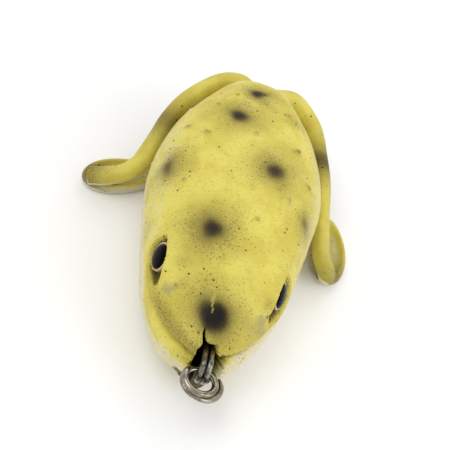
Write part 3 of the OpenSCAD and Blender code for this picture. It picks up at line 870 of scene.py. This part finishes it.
def paddle(toe, turn, settings):
    """Closed oval paddle with a raised rim round a sunken web."""
    length, width, depth = (v / MM for v in (settings.foot_length, settings.foot_width, settings.foot_depth))
    tip = on_body([toe[0], toe[1], 0])
    along = np.array([math.cos(turn), math.sin(turn), 0])
    across = np.array([-math.sin(turn), math.cos(turn), 0])
    a = np.linspace(0, 2 * np.pi, 96, endpoint=False)
    taper = 1 - 0.16 * np.cos(a)
    px, py = np.cos(a) * length / 2, np.sin(a) * width / 2 * taper
    middle = tip + along * (length / 2 - 1.1)
    # Rings from the middle of the top, over the rim, down the side and back to the middle of the bottom.
    rings = [(0.03, 0.62), (0.3, 0.62), (0.55, 0.64), (0.68, 0.74), (0.78, 0.92), (0.86, 1.0), (0.93, 0.95),
             (0.98, 0.80), (1.0, 0.58), (0.985, 0.36), (0.94, 0.16), (0.87, 0.04), (0.7, 0.02), (0.4, 0.02),
             (0.03, 0.02)]
    points = []
    for r, h in rings:
        ring = middle + (px * r)[:, None] * along + (py * r)[:, None] * across
        ring[:, 2] = h * depth
        points.append(ring)
    return np.concatenate(points), [list(f)[::-1] for f in grid_faces(len(rings), len(a))]


def fused(name, parts, material, voxel):
    """Several closed solids remeshed into one soft moulding."""
    points, faces, base = [], [], 0
    for p, f in parts:
        points.append(p)
        faces += [[i + base for i in face] for face in f]
        base += len(p)
    piece = new_piece(name, np.concatenate(points), faces, material)
    close_poles(piece)
    face_outwards(piece)
    remesh = piece.modifiers.new("fuse", "REMESH")
    remesh.mode = "VOXEL"
    remesh.voxel_size = voxel
    soften = piece.modifiers.new("soften", "SMOOTH")
    soften.factor = 0.5
    soften.iterations = 3
    bake_modifiers(piece)
    piece.data.polygons.foreach_set("use_smooth", [True] * len(piece.data.polygons))
    return piece


def bake_modifiers(piece):
    """Turns the evaluated mesh into the piece's own mesh and drops its modifiers."""
    graph = bpy.context.evaluated_depsgraph_get()
    mesh = bpy.data.meshes.new_from_object(piece.evaluated_get(graph))
    piece.modifiers.clear()
    piece.data = mesh


def paint_leg(piece, path, toe, side):
    """Colour masks of a leg: a brown band, an olive toe, a bare underside, dirt, and painted shade in the
    foot's joint.
    """
    co = np.array([v.co for v in piece.data.vertices], float) / MM
    normal = np.array([v.normal for v in piece.data.vertices], float)
    fine = spline(path, np.linspace(0, len(path) - 1, 240))
    step = np.linalg.norm(np.diff(fine, axis=0), axis=1)
    run = np.concatenate([[0], np.cumsum(step)]) / step.sum()
    d2 = ((co[:, None, :] - fine[None]) ** 2).sum(2)
    nearest = d2.argmin(1)
    share = run[nearest]
    away = np.sqrt(d2.min(1))
    tip = on_body([toe[0], toe[1], 0.09])
    to_tip = np.linalg.norm(co - tip, axis=1)
    strip = away < 2.6
    middle, long = (0.52, 0.085) if side < 0 else (0.455, 0.075)
    band = np.exp(-((share - middle) / long) ** 2) * (0.42 if side < 0 else 0.66)
    upper = normal[:, 2] > -0.2
    toe_spot = 1.05 * np.exp(-(to_tip / 4.6) ** 2) * upper
    if side > 0:
        toe_spot = np.maximum(toe_spot, 0.75 * strip * smoothstep(0.87, 0.97, share) * upper)
    spot = np.where(strip, band, 0)
    band_haze = np.where(strip, np.exp(-((share - middle) / (1.3 * long)) ** 2), 0)
    on_foot = share > 0.72
    low = co[:, 2] < 2.6
    web = on_foot & ~strip & (normal[:, 2] > 0.75) & low
    belly = np.where(normal[:, 2] < -0.25, 0.9, 0.0)
    belly = np.maximum(belly, np.where(web, 0.45, 0.0))
    belly = np.maximum(belly, np.where(on_foot & low & (normal[:, 2] < 0.35), 0.7, 0.0))
    # Painted shade in the groove where the strip lies on the paddle.
    crease = np.exp(-((away - 2.15) / 0.35) ** 2) * on_foot * upper
    dirt_and_shade = 0.55 * crease + 0.3 * np.exp(-(to_tip / 1.8) ** 2) + np.where(web, 0.35, 0.0)
    # Darker on the side of the strip that faces the body, over the leg's first half.
    inward = fine[nearest] * [-1, 0, 0]
    inward /= np.maximum(np.linalg.norm(inward, axis=1, keepdims=True), 1e-6)
    facing_body = np.clip(1.6 * (normal * inward).sum(1) - 0.3, 0, 1) * (share < 0.55)
    dirt_and_shade = np.maximum(dirt_and_shade, 0.42 * facing_body)
    set_mask(piece, "spot", spot)
    set_mask(piece, "haze", np.maximum(band_haze, toe_spot * 1.4))
    set_mask(piece, "belly", belly)
    set_mask(piece, "dirt_and_shade", dirt_and_shade)
    set_mask(piece, "worn", np.where(web, 0.5, 0.0))
    set_mask(piece, "inner", np.zeros(len(co)))


def build_leg(side, settings):
    """The three pieces of one leg, and the route that they follow."""
    name = "left" if side > 0 else "right"
    shares, toe, turn = LEGS[side]
    path = leg_route(shares, toe)
    skin = finish("leg")
    pieces = {}
    for part, start, end in (("hip", 0.0, UPPER_CUT), ("knee", UPPER_CUT, LOWER_CUT)):
        points, faces = strip_section(path, start, end, settings)
        pieces[part] = new_piece(f"{name}_leg_{part}", points, faces, skin)
        face_outwards(pieces[part])
    foot_parts = [strip_section(path, LOWER_CUT, 1.0, settings), paddle(toe, turn, settings)]
    pieces["foot"] = fused(f"{name}_leg_foot", foot_parts, skin, settings.voxel)
    for piece in pieces.values():
        paint_leg(piece, path, toe, side)
    return pieces, path


def bend_at(piece, joint, path):
    """Finds the point of the leg's route nearest a joint, and bakes the piece's placing into its mesh."""
    fine = spline(path, np.linspace(0, len(path) - 1, 300))
    pivot = JOINTS[joint]
    i = int(np.linalg.norm(fine - pivot, axis=1).argmin())
    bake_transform(piece)


# ---------------------------------------------------------------- wire parts


def wire_tree():
    """Geometry Nodes tree that sweeps an oval wire along a curve, with its size from the points' radii."""
    tree = bpy.data.node_groups.new("wire_sweep", "GeometryNodeTree")
    face = tree.interface
    face.new_socket("Geometry", in_out="INPUT", socket_type="NodeSocketGeometry")
    inputs = {
        "width": face.new_socket("Wire Width", in_out="INPUT", socket_type="NodeSocketFloat"),
        "height": face.new_socket("Wire Height", in_out="INPUT", socket_type="NodeSocketFloat"),
        "step": face.new_socket("Step", in_out="INPUT", socket_type="NodeSocketFloat"),
        "sides": face.new_socket("Sides", in_out="INPUT", socket_type="NodeSocketInt"),
        "finish": face.new_socket("Finish", in_out="INPUT", socket_type="NodeSocketMaterial"),
    }
    face.new_socket("Geometry", in_out="OUTPUT", socket_type="NodeSocketGeometry")
    given = add_node(tree, "NodeGroupInput")
    result = add_node(tree, "NodeGroupOutput")
    resample = add_node(tree, "GeometryNodeResampleCurve", {
        "Curve": given.outputs["Geometry"], "Length": given.outputs["Step"]}, mode="LENGTH")
    upright = add_node(tree, "GeometryNodeSetCurveNormal", {"Curve": resample.outputs["Curve"]}, mode="Z_UP")
    circle = add_node(tree, "GeometryNodeCurvePrimitiveCircle", {"Resolution": given.outputs["Sides"]},
                      Radius=0.5)
    oval = add_node(tree, "ShaderNodeCombineXYZ", {
        "X": given.outputs["Wire Width"], "Y": given.outputs["Wire Height"], "Z": given.outputs["Wire Width"]})
    profile = add_node(tree, "GeometryNodeTransform", {
        "Geometry": circle.outputs["Curve"], "Scale": oval.outputs["Vector"]})
    sweep = add_node(tree, "GeometryNodeCurveToMesh", {
        "Curve": upright.outputs["Curve"], "Profile Curve": profile.outputs["Geometry"]}, Fill_Caps=True)
    if "Scale" in sweep.inputs:
        radius = add_node(tree, "GeometryNodeInputRadius")
        tree.links.new(radius.outputs["Radius"], sweep.inputs["Scale"])
    real = add_node(tree, "GeometryNodeRealizeInstances", {"Geometry": sweep.outputs["Mesh"]})
    paint = add_node(tree, "GeometryNodeSetMaterial", {
        "Geometry": real.outputs["Geometry"], "Material": given.outputs["Finish"]})
    tree.links.new(paint.outputs["Geometry"], result.inputs["Geometry"])
    return tree, {key: socket.identifier for key, socket in inputs.items()}


def sweep_wire(name, path, radii, size_mm, sides, material):
    """One closed mesh of oval wire along a path in mm, with a share of its size at each point."""
    curve = bpy.data.curves.new(name, "CURVE")
    curve.dimensions = "3D"
    line = curve.splines.new("POLY")
    line.points.add(len(path) - 1)
    for point, place, share in zip(line.points, path, radii):
        point.co = (*(np.asarray(place) * MM), 1)
        point.radius = share
    piece = bpy.data.objects.new(name, curve)
    bpy.context.scene.collection.objects.link(piece)
    tree, inputs = wire_tree()
    modifier = piece.modifiers.new("sweep", "NODES")
    modifier.node_group = tree
    modifier[inputs["width"]] = size_mm[0] * MM
    modifier[inputs["height"]] = size_mm[1] * MM
    modifier[inputs["step"]] = 0.16 * MM
    modifier[inputs["sides"]] = sides
    modifier[inputs["finish"]] = material
    graph = bpy.context.evaluated_depsgraph_get()
    mesh = bpy.data.meshes.new_from_object(piece.evaluated_get(graph))
    bpy.data.objects.remove(piece)
    swept = bpy.data.objects.new(name, mesh)
    bpy.context.scene.collection.objects.link(swept)
    mesh.polygons.foreach_set("use_smooth", [True] * len(mesh.polygons))
    face_outwards(swept)
    return swept


def hook_sizes(settings):
    """Places that the hook is drawn from, in mm."""
    wire_r = settings.hook_wire / MM / 2
    eye_r = (settings.hook_eye / MM + 2 * wire_r) / 2
    shank_x = wire_r + 0.05
    eye_at = np.array([TEAR_X, NOSE_Y - 1.6, 0.3 * BODY_HEIGHT + 1.35 + wire_r + eye_r])
    front = eye_at + [0, 0, eye_r]
    rear = np.array([0, RUMP_Y - 1, 2 * wire_r + 0.5])
    return wire_r, eye_r, shank_x, eye_at, front, rear


def hook_half(s, settings):
    """Path of half the hook on side s, from the point to the middle of the bend that closes the eye."""
    _, eye_r, shank_x, eye_at, front, rear = hook_sizes(settings)
    lean = math.radians(settings.bend_lean_deg)
    gap = settings.hook_gap / MM
    out = np.array([s * math.sin(lean), 0, math.cos(lean)])
    shift = np.array([s * shank_x, 0, 0])
    start = rear + shift
    r = gap / 2
    centre = start + r * out
    back = np.array([0, 1.0, 0])
    path = [centre + r * out - back * settings.point_length / MM * (1 - k) for k in np.linspace(0, 1, 12)]
    path += [centre + r * math.cos(a) * out + r * math.sin(a) * back
             for a in np.radians(np.arange(6, 180, 6))]
    path += [start + (front + shift - start) * k for k in np.linspace(0, 1, 30)]
    path += [eye_at + shift + eye_r * np.array([0, -math.cos(a), math.sin(a)])
             for a in np.radians(np.arange(84, -136, -6))]
    end = np.radians(-135)
    radial = eye_r * np.array([0, -math.cos(end), math.sin(end)])
    tangent = np.array([0, -math.sin(end), -math.cos(end)])
    path += [eye_at + np.array([s * shank_x * math.sin(a), 0, 0]) + radial - shank_x * math.cos(a) * tangent
             for a in np.radians([75, 55, 35, 15])]
    return path


def build_hook(settings):
    """Double hook of one wire, sharpened to its two points, with a barb behind each."""
    wire_r = settings.hook_wire / MM / 2
    half = hook_half(1, settings)
    path = half + hook_half(-1, settings)[::-1]
    reach = np.concatenate([[0], np.cumsum(np.linalg.norm(np.diff(path, axis=0), axis=1))])
    from_tip = np.minimum(reach, reach[-1] - reach)
    radii = np.clip(0.06 + from_tip / 3.2, 0, 1) ** 0.8
    hook = sweep_wire("double_hook_wire", path, radii, (2 * wire_r, 2 * wire_r), 24, finish("hook"))
    # A barb is a sliver raised from the wire just behind each point.
    bm = bmesh.new()
    bm.from_mesh(hook.data)
    for s in (1, -1):
        tip, behind = np.array(hook_half(s, settings))[[0, 6]]
        along = unit(behind - tip)
        inward = unit(np.array([-s, 0, -0.45]))
        root = tip + along * 1.3
        wide = unit(np.cross(along, inward)) * 0.22
        verts = [root, root + along * 1.5 + wide, root + along * 1.5 - wide,
                 root + along * 1.7 + inward * 0.95, root + along * 1.1 - inward * 0.1]
        v = [bm.verts.new(p * MM) for p in verts]
        for f in ((0, 1, 3), (0, 3, 2), (1, 2, 3), (4, 1, 0), (4, 0, 2), (4, 2, 1)):
            bm.faces.new([v[i] for i in f])
    bm.to_mesh(hook.data)
    bm.free()
    return hook


def build_ring(settings):
    """Split ring: flattened spring wire wound over two turns, with the last part turn sprung out."""
    width, height = settings.ring_wire_width / MM, settings.ring_wire_height / MM
    ring_r = (settings.ring_size / MM - width) / 2
    steps = 72
    _, _, _, eye_at, _, _ = hook_sizes(settings)
    k = np.arange(0, int(RING_TURNS * steps) + 1) / steps
    a = np.radians(360 * k - 210)
    spring = np.clip(k - RING_TURNS + RING_LOOSE, 0, None) / RING_LOOSE
    r = ring_r + RING_SPREAD * spring ** 1.6
    local = np.stack([r * np.cos(a), r * np.sin(a), (height + 0.04) * (1 - k) - 0.8 * spring], -1)
    local += [0, RING_SEAT - ring_r, -RING_DROP]
    turn = (Matrix.Rotation(math.radians(settings.ring_yaw_deg), 4, "Z")
            @ Matrix.Rotation(math.radians(-settings.ring_tilt_deg), 4, "X")
            @ Matrix.Rotation(math.radians(settings.ring_roll_deg), 4, "Y"))
    path = local @ np.array(turn.to_3x3()).T + eye_at
    end = np.minimum(np.arange(len(path)), np.arange(len(path))[::-1])
    radii = np.clip(0.55 + 0.12 * end, 0, 1)
    return sweep_wire("split_ring_wire", path, radii, (width, height), 20, finish("ring"))


def build_weight(settings):
    """Cast barrel with rounded ends, round both shanks."""
    _, _, _, _, front, rear = hook_sizes(settings)
    along = unit(rear - front)
    middle = (front + rear) / 2
    t = np.linspace(-1, 1, 40)
    width = WEIGHT_RADIUS * (1 - 0.35 * np.clip((np.abs(t) - 0.8) / 0.2, 0, 1) ** 2.5)
    path = middle + t[:, None] * along * WEIGHT_LENGTH / 2
    side, up = carried_frame(path, (1, 0, 0))
    points, faces = rod(path, side, up, width, width, 48)
    piece = new_piece("belly_weight_casting", points, faces, finish("lead"))
    face_outwards(piece)
    return piece


# ---------------------------------------------------------------- settings


def size(name, description, default, low, high):
    """A length in metres."""
    return bpy.props.FloatProperty(name=name, description=description, default=default, min=low, max=high,
                                   unit="LENGTH", precision=5)


def count(name, description, default, low, high):
    """A whole number."""
    return bpy.props.IntProperty(name=name, description=description, default=default, min=low, max=high)


def degrees(name, description, default):
    """An angle in degrees."""
    return bpy.props.FloatProperty(name=name, description=description, default=default, min=-180, max=180)


class FrogSkinSettings(bpy.types.PropertyGroup):
    skin: size("Skin", "Thickness of the moulded skin", 0.0018, 0.001, 0.003)
    head_rows: count("Head rows", "Rings of points over the head", 158, 40, 200)
    back_rows: count("Back rows", "Rings of points over the back", 104, 30, 200)
    columns: count("Columns", "Points round each ring", 300, 80, 400)


class FrogLegSettings(bpy.types.PropertyGroup):
    leg_width: size("Strip width", "Width of the leg strip", 0.0034, 0.003, 0.005)
    leg_depth: size("Strip depth", "Thickness of the leg strip", 0.003, 0.002, 0.004)
    foot_length: size("Foot length", "Length of the foot paddle", 0.0158, 0.012, 0.019)
    foot_width: size("Foot width", "Width of the foot paddle", 0.0072, 0.006, 0.009)
    foot_depth: size("Foot depth", "Thickness of the foot paddle", 0.0028, 0.002, 0.0035)
    voxel: size("Remesh", "Voxel size that fuses strip and paddle", 0.0002, 0.0001, 0.0006)


class FrogWireSettings(bpy.types.PropertyGroup):
    hook_wire: size("Hook wire", "Diameter of the hook wire", 0.001, 0.0008, 0.0014)
    hook_eye: size("Hook eye", "Inside diameter of the hook's eye", 0.0035, 0.003, 0.0045)
    hook_gap: size("Hook gap", "Distance from point to shank", 0.011, 0.008, 0.013)
    point_length: size("Point length", "Wire between bend and point", 0.0055, 0.004, 0.008)
    bend_lean_deg: degrees("Bend lean", "Lean of each bend from upright, degrees", 66.0)
    ring_size: size("Ring size", "Outside diameter of the split ring", 0.0068, 0.006, 0.008)
    ring_wire_width: size("Ring wire width", "Width of the flattened ring wire", 0.0012, 0.0008, 0.0014)
    ring_wire_height: size("Ring wire height", "Height of the flattened ring wire", 0.00095, 0.0007, 0.0011)
    ring_tilt_deg: degrees("Ring tilt", "Lift of the ring, degrees", 4.0)
    ring_yaw_deg: degrees("Ring turn", "Turn of the ring to one side, degrees", -2.0)
    ring_roll_deg: degrees("Ring roll", "Roll of the ring, degrees", 6.0)


class FrogStageSettings(bpy.types.PropertyGroup):
    camera_turn: degrees("Camera turn", "Azimuth of the camera, degrees", -9.335)
    camera_height: degrees("Camera height", "Elevation of the camera, degrees", 46.715)
    camera_roll: degrees("Camera roll", "Clockwise roll of the view, degrees", 25.07)
    camera_far: size("Camera distance", "Distance of the camera from the middle of the lure", 0.3, 0.1, 2.0)


# Each finish by its short name: the function that makes it, and what that is given.
FINISHES = {
    "skin": (airbrushed_skin, ("airbrushed_plastisol_body", "#cfbf52", "#dfd263", "#ddd3a6", 0.62)),
    "leg": (airbrushed_skin, ("airbrushed_plastisol_leg", "#cbbb4e", "#dacd60", "#d2ccb4", 0.68)),
    "rim": (eye_enamel, ("cream_acrylic_rim",)),
    "pupil": (eye_dome, ("black_acrylic_dome",)),
    "hook": (plated_steel, ("worn_nickel_hook_wire", "#9a968c", "#4c4840", 0.20, 0.35)),
    "ring": (plated_steel, ("polished_steel_ring", "#a39c8e", "#7a7365", 0.12, 0.10)),
    "lead": (cast_lead, ("cast_lead",)),
    "paper": (studio_paper, ("white_studio_paper",)),
}


def finish(key):
    """A finish by its short name, made the first time that it is asked for."""
    make, given = FINISHES[key]
    return bpy.data.materials.get(given[0]) or make(*given)


def require_faces(*pieces):
    """Stops the run if a piece came out empty."""
    for piece in pieces:
        if not piece.data.polygons:
            raise RuntimeError(f"{piece.name} came out empty")


# ---------------------------------------------------------------- operators


class FROG_OT_body(bpy.types.Operator):
    """Sculpt the hollow body skin with its torn mouth, brows, lips and warts"""

    bl_idname = "frog.body"
    bl_label = "Body skin"

    def execute(self, context):
        piece = build_body(context.scene.frog_skin)
        require_faces(piece)
        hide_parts("body_shell")
        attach(piece, "body")
        return {"FINISHED"}


class FROG_OT_eyes(bpy.types.Operator):
    """Turn the two eye rims and their black domes"""

    bl_idname = "frog.eyes"
    bl_label = "Eyes"

    def execute(self, context):
        for side, name in ((1, "left"), (-1, "right")):
            rim, dome = build_eye(side)
            require_faces(rim, dome)
            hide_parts(name + "_eye_bead")
            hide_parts(name + "_eye_pupil")
            for piece in (rim, dome):
                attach(piece, "body")
        return {"FINISHED"}


class FROG_OT_legs(bpy.types.Operator):
    """Mould both legs, each in three pieces: hip, knee and foot"""

    bl_idname = "frog.legs"
    bl_label = "Legs"

    def execute(self, context):
        for side, name in ((1, "left"), (-1, "right")):
            pieces, path = build_leg(side, context.scene.frog_legs)
            require_faces(*pieces.values())
            for k, (part, node, joint) in enumerate((("hip", "thigh", "hip"), ("knee", "shin", "knee"),
                                                     ("foot", "foot", "ankle"))):
                piece = pieces[part]
                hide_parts(f"{name}_{node}")
                bend_at(piece, f"{name}_{joint}", path)
        return {"FINISHED"}


class FROG_OT_wires(bpy.types.Operator):
    """Sweep the double hook, wind the split ring and cast the weight"""

    bl_idname = "frog.wires"
    bl_label = "Hook, weight and ring"

    def execute(self, context):
        settings = context.scene.frog_wires
        for piece, node, body, slot in (
            (build_hook(settings), "double_hook", "hook", "hook_steel"),
            (build_weight(settings), "belly_weight", "hook", "lead"),
            (build_ring(settings), "split_ring", "ring", "ring_steel"),
        ):
            require_faces(piece)
            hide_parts(node)
            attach(piece, body)
        return {"FINISHED"}


class FROG_OT_stage(bpy.types.Operator):
    """Lay the white paper, and place the soft lights and the camera"""

    bl_idname = "frog.stage"
    bl_label = "Stage"

    def execute(self, context):
        stage = context.scene.frog_stage
        half = 1.5
        corners = [(-half, -half, 0), (half, -half, 0), (half, half, 0), (-half, half, 0)]
        mesh = bpy.data.meshes.new("paper")
        mesh.from_pydata(corners, [], [(0, 1, 2, 3)])
        mesh.materials.append(finish("paper"))
        paper = bpy.data.objects.new("paper", mesh)
        context.scene.collection.objects.link(paper)
        require_faces(paper)
        context.scene.view_settings.view_transform = "Standard"
        place_camera(context, stage)
        place_lights(context)
        return {"FINISHED"}


def place_camera(context, stage):
    """The camera, rolled about its own axis and aimed at the middle of the lure."""
    az, el, roll = (math.radians(v) for v in (stage.camera_turn, stage.camera_height, stage.camera_roll))
    back = Vector((math.sin(az) * math.cos(el), -math.cos(az) * math.cos(el), math.sin(el)))
    right = Vector((math.cos(az), math.sin(az), 0))
    up = back.cross(right)
    tilt_right = right * math.cos(roll) + up * math.sin(roll)
    tilt_up = up * math.cos(roll) - right * math.sin(roll)
    middle = Vector((0, 0, 12 * MM))
    data = bpy.data.cameras.new("camera")
    # Lens and shift for a 36 mm sensor and a square frame.
    data.sensor_width = 36
    data.lens = 133.4
    data.shift_x = -0.00875
    data.shift_y = -0.00695
    data.clip_start = 0.01
    camera = bpy.data.objects.new("camera", data)
    basis = Matrix((tilt_right, tilt_up, back)).transposed().to_4x4()
    camera.matrix_world = Matrix.Translation(middle + back * stage.camera_far) @ basis
    context.scene.collection.objects.link(camera)
    context.scene.camera = camera


def place_lights(context):
    """A pale surround and three soft lights."""
    world = bpy.data.worlds.new("studio")
    world.use_nodes = True
    world.node_tree.nodes["Background"].inputs["Color"].default_value = (1, 1, 1, 1)
    world.node_tree.nodes["Background"].inputs["Strength"].default_value = 0.80
    context.scene.world = world
    for name, place, watts, width in (
        ("key", (-0.28, -0.10, 0.58), 0.85, 0.45),
        ("fill", (0.50, -0.20, 0.35), 0.8, 0.5),
        ("rear", (0.05, 0.50, 0.45), 0.4, 0.5),
    ):
        data = bpy.data.lights.new(name, "AREA")
        data.energy = watts
        data.shape = "DISK"
        data.size = width
        light = bpy.data.objects.new(name, data)
        light.location = place
        aim = Vector((0, 0, 0.01)) - Vector(place)
        light.rotation_euler = aim.to_track_quat("-Z", "Y").to_euler()
        context.scene.collection.objects.link(light)


class FROG_PT_panel(bpy.types.Panel):
    """Buttons that build each part of the lure"""

    bl_idname = "FROG_PT_panel"
    bl_label = "Frog Lure"
    bl_space_type = "VIEW_3D"
    bl_region_type = "UI"
    bl_category = "Frog Lure"

    def draw(self, context):
        for operator in OPERATORS:
            self.layout.operator(operator.bl_idname)
        for group in ("frog_skin", "frog_legs", "frog_wires", "frog_stage"):
            settings = getattr(context.scene, group)
            column = self.layout.box().column()
            for key in settings.__annotations__:
                column.prop(settings, key)


OPERATORS = (FROG_OT_stage, FROG_OT_body, FROG_OT_eyes, FROG_OT_legs, FROG_OT_wires)
GROUPS = (("frog_skin", FrogSkinSettings), ("frog_legs", FrogLegSettings), ("frog_wires", FrogWireSettings),
          ("frog_stage", FrogStageSettings))


def register():
    for name, group in GROUPS:
        bpy.utils.register_class(group)
        setattr(bpy.types.Scene, name, bpy.props.PointerProperty(type=group))
    for cls in OPERATORS + (FROG_PT_panel,):
        bpy.utils.register_class(cls)


def unregister():
    for cls in reversed(OPERATORS + (FROG_PT_panel,)):
        bpy.utils.unregister_class(cls)
    for name, group in reversed(GROUPS):
        delattr(bpy.types.Scene, name)
        bpy.utils.unregister_class(group)


def main():
    register()
    bpy.ops.frog.stage()
    bpy.ops.frog.body()
    bpy.ops.frog.eyes()
    bpy.ops.frog.legs()
    bpy.ops.frog.wires()


if __name__ == "__main__":
    main()
